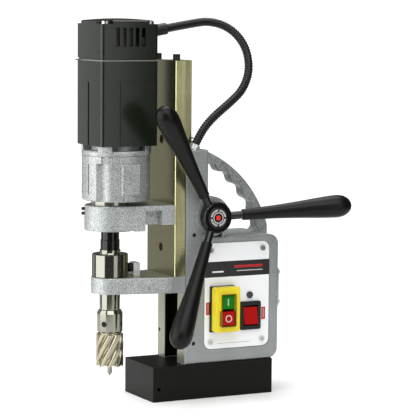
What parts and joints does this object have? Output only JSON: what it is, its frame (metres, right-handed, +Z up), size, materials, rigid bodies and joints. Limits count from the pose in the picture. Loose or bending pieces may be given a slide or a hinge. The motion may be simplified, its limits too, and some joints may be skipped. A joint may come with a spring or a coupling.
{
  "type": "magnetic drill press",
  "caption": "Portable magnetic-base core drill: electromagnet foot, cast stand with switch box and carry handle, rack-fed slide with upright motor, gearbox, arbor and annular cutter.",
  "frame": {"origin": "centre of the electromagnet's bottom face", "axes": "+Z up; +X to the back, where the carry handle and the switch box are; -X to the drill spindle; -Y to the side with the switches and the feed handles"},
  "size_m": [0.3105, 0.1416, 0.4534],
  "materials": {
    "black_steel": "satin",
    "copper": "wound",
    "resin": "matt",
    "hammertone": "hammertone",
    "bronze": "turned",
    "black_fastener": "oiled",
    "zinc_fastener": "zinc",
    "panel_white": "semi-gloss",
    "black_plastic": "moulded",
    "yellow_plastic": "moulded",
    "green_plastic": "moulded",
    "red_plastic": "moulded",
    "lamp_lens": "gloss",
    "board_green": "laminate",
    "plain_metal": "plain",
    "conduit_black": "ribbed",
    "machined_steel": "machined",
    "blackened_steel": "blackened",
    "hub_disc": "printed",
    "grip_plastic": "moulded",
    "brushed_plate": "brushed",
    "polished_steel": "polished",
    "cutter_steel": "ground",
    "motor_plastic": "moulded"
  },
  "bodies": {
    "stand": {"magnet_body": "black_steel", "magnet_coils": "copper", "magnet_potting": "resin", "housing": "hammertone", "gib_strip": "bronze", "gib_screws": "black_fastener", "magnet_bolts": "black_fastener", "pinion_bushes": "bronze", "panel_plate": "panel_white", "cover_screws": "zinc_fastener", "switch_base": "black_plastic", "switch_cover": "yellow_plastic", "rocker_bezel": "black_plastic", "indicator_lamp": "lamp_lens", "control_board": "board_green", "rear_cover": "plain_metal", "mains_gland": "black_plastic", "conduit_gland_lower": "plain_metal", "conduit": "conduit_black"},
    "feed": {"pinion_shaft": "machined_steel", "shaft_circlip": "zinc_fastener", "capstan_hub": "blackened_steel", "hub_disc": "hub_disc", "feed_rods": "blackened_steel", "feed_grips": "grip_plastic"},
    "carriage": {"slide_plate": "brushed_plate", "feed_rack": "machined_steel", "carriage_screws": "black_fastener", "upper_bracket": "hammertone", "lower_bracket": "hammertone", "arbor_bush": "bronze", "coolant_ring": "polished_steel", "coolant_nipple": "black_plastic", "stop_block": "plain_metal", "gear_housing": "hammertone", "gearbox_lid": "hammertone", "motor_casing": "motor_plastic", "motor_cap": "motor_plastic", "motor_gasket": "motor_plastic", "motor_screws": "zinc_fastener", "stator": "machined_steel", "field_windings": "copper", "brush_holders": "black_plastic", "bearings": "machined_steel", "bearing_bridge": "black_plastic", "conduit_gland_upper": "black_plastic"},
    "spindle": {"spindle": "blackened_steel", "spindle_gear": "machined_steel", "arbor": "polished_steel", "arbor_screws": "black_fastener", "cutter": "cutter_steel", "pilot_spring": "machined_steel"},
    "pilot": {"pilot_pin": "polished_steel"},
    "layshaft": {"layshaft": "machined_steel"},
    "rotor": {"rotor": "machined_steel", "cooling_fan": "black_plastic"},
    "start_button": {"start_button": "green_plastic"},
    "stop_button": {"stop_button": "red_plastic"},
    "rocker": {"magnet_rocker": "red_plastic"}
  },
  "joints": [
    {"name": "carriage_slide", "type": "slide", "parent": "stand", "child": "carriage", "axis": [0, 0, 1], "range_m": [-0.072, 0.06], "deforming": ["conduit"]},
    {"name": "feed_turn", "type": "hinge", "parent": "stand", "child": "feed", "pos_m": [-0.0035, -0.05, 0.218], "axis": [0, 1, 0], "range_deg": [-395, 330]},
    {"name": "rotor_spin", "type": "hinge", "parent": "carriage", "child": "rotor", "pos_m": [-0.11, 0, 0.34], "axis": [0, 0, 1], "continuous": true},
    {"name": "layshaft_spin", "type": "hinge", "parent": "carriage", "child": "layshaft", "pos_m": [-0.10919, 0.01798, 0.27], "axis": [0, 0, 1], "continuous": true},
    {"name": "spindle_spin", "type": "hinge", "parent": "carriage", "child": "spindle", "pos_m": [-0.1185, 0, 0.2], "axis": [0, 0, 1], "continuous": true},
    {"name": "pilot_slide", "type": "slide", "parent": "spindle", "child": "pilot", "axis": [0, 0, 1], "range_m": [0, 0.03], "stiffness_N_per_m": 250, "springref_m": -0.01, "deforming": ["pilot_spring"]},
    {"name": "start_press", "type": "slide", "parent": "stand", "child": "start_button", "axis": [0, 1, 0], "range_m": [0, 0.002], "stiffness_N_per_m": 500, "springref_m": -0.002},
    {"name": "stop_press", "type": "slide", "parent": "stand", "child": "stop_button", "axis": [0, 1, 0], "range_m": [0, 0.003], "stiffness_N_per_m": 500, "springref_m": -0.002},
    {"name": "rocker_tip", "type": "hinge", "parent": "stand", "child": "rocker", "pos_m": [0.0492, -0.0362, 0.0963], "axis": [1, 0, 0], "range_deg": [0, 14]}
  ],
  "couplings": [
    {"joint": "feed_turn", "follows": "carriage_slide", "rad_per_m": 95.238},
    {"joint": "layshaft_spin", "follows": "rotor_spin", "ratio": -0.25},
    {"joint": "spindle_spin", "follows": "rotor_spin", "ratio": 0.0625}
  ]
}
